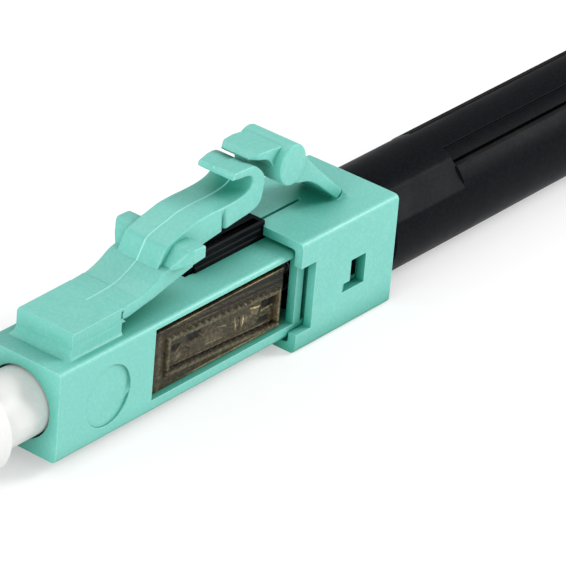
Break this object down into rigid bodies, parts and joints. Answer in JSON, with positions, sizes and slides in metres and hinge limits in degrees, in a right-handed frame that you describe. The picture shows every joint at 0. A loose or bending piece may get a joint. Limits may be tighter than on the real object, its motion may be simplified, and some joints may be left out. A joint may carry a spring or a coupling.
{
  "type": "lc fibre connector",
  "caption": "Field-fit LC fibre plug: square plug section with sprung latch and trigger, open side windows on a splice, round rear barrel and a push-in dust cap.",
  "frame": {"origin": "on the plug's axis, at the front face of the square plug section", "axes": "+X back along the plug towards the cable, +Z the latch side, Y across the plug"},
  "size_m": [0.0546, 0.0056, 0.0103],
  "materials": {
    "cap_white": "soft white moulding",
    "plug_aqua": "satin moulded aqua",
    "latch_aqua": "satin moulded aqua",
    "sleeve_aqua": "satin moulded aqua",
    "trigger_aqua": "satin moulded aqua",
    "zirconia": "polished zirconia",
    "holder_metal": "turned, plated",
    "fibre": "bare glass fibre",
    "amber": "translucent amber moulding",
    "splice_grey": "precision moulding",
    "spring_steel": "bright spring steel",
    "brass": "turned brass",
    "core_black": "satin black moulding",
    "tube_white": "extruded tube",
    "barrel_black": "satin black moulding",
    "ring_metal": "plated ring"
  },
  "bodies": {
    "plug": {"plug_housing": "plug_aqua", "rear_sleeve": "sleeve_aqua", "inner_body": "core_black", "guide_tube": "tube_white", "rear_barrel": "barrel_black", "crimp_ring": "ring_metal", "buffer_clamp": "core_black", "clamp_wedge": "core_black", "entry_bush": "barrel_black"},
    "cap": {"dust_cap": "cap_white"},
    "latch": {"latch_arm": "latch_aqua"},
    "trigger": {"trigger_lever": "trigger_aqua"},
    "floating_ferrule": {"ferrule": "zirconia", "ferrule_holder": "holder_metal", "fibre_stub": "fibre", "splice_holder": "amber", "splice_base": "splice_grey", "splice_plank": "splice_grey", "splice_clip": "spring_steel", "spring_seat": "brass", "float_spring": "spring_steel"}
  },
  "joints": [
    {"name": "cap_pull", "type": "slide", "parent": "plug", "child": "cap", "axis": [-1, 0, 0], "range_m": [0, 0.012]},
    {"name": "trigger_press", "type": "hinge", "parent": "plug", "child": "trigger", "pos_m": [0.02042, 0, 0.00319], "axis": [0, -1, 0], "range_deg": [0, 7.5], "stiffness_Nm_per_rad": 0.0001, "springref_deg": -2.86},
    {"name": "latch_press", "type": "hinge", "parent": "plug", "child": "latch", "pos_m": [0.0051, 0, 0.00311], "axis": [0, 1, 0], "range_deg": [0, 7.2], "stiffness_Nm_per_rad": 0.0001, "springref_deg": -2.86},
    {"name": "ferrule_float", "type": "slide", "parent": "plug", "child": "floating_ferrule", "axis": [1, 0, 0], "range_m": [0, 0.0006], "stiffness_N_per_m": 40, "springref_m": -0.0005, "deforming": ["float_spring"]}
  ],
  "couplings": [
    {"joint": "latch_press", "follows": "trigger_press", "ratio": 0.95}
  ]
}
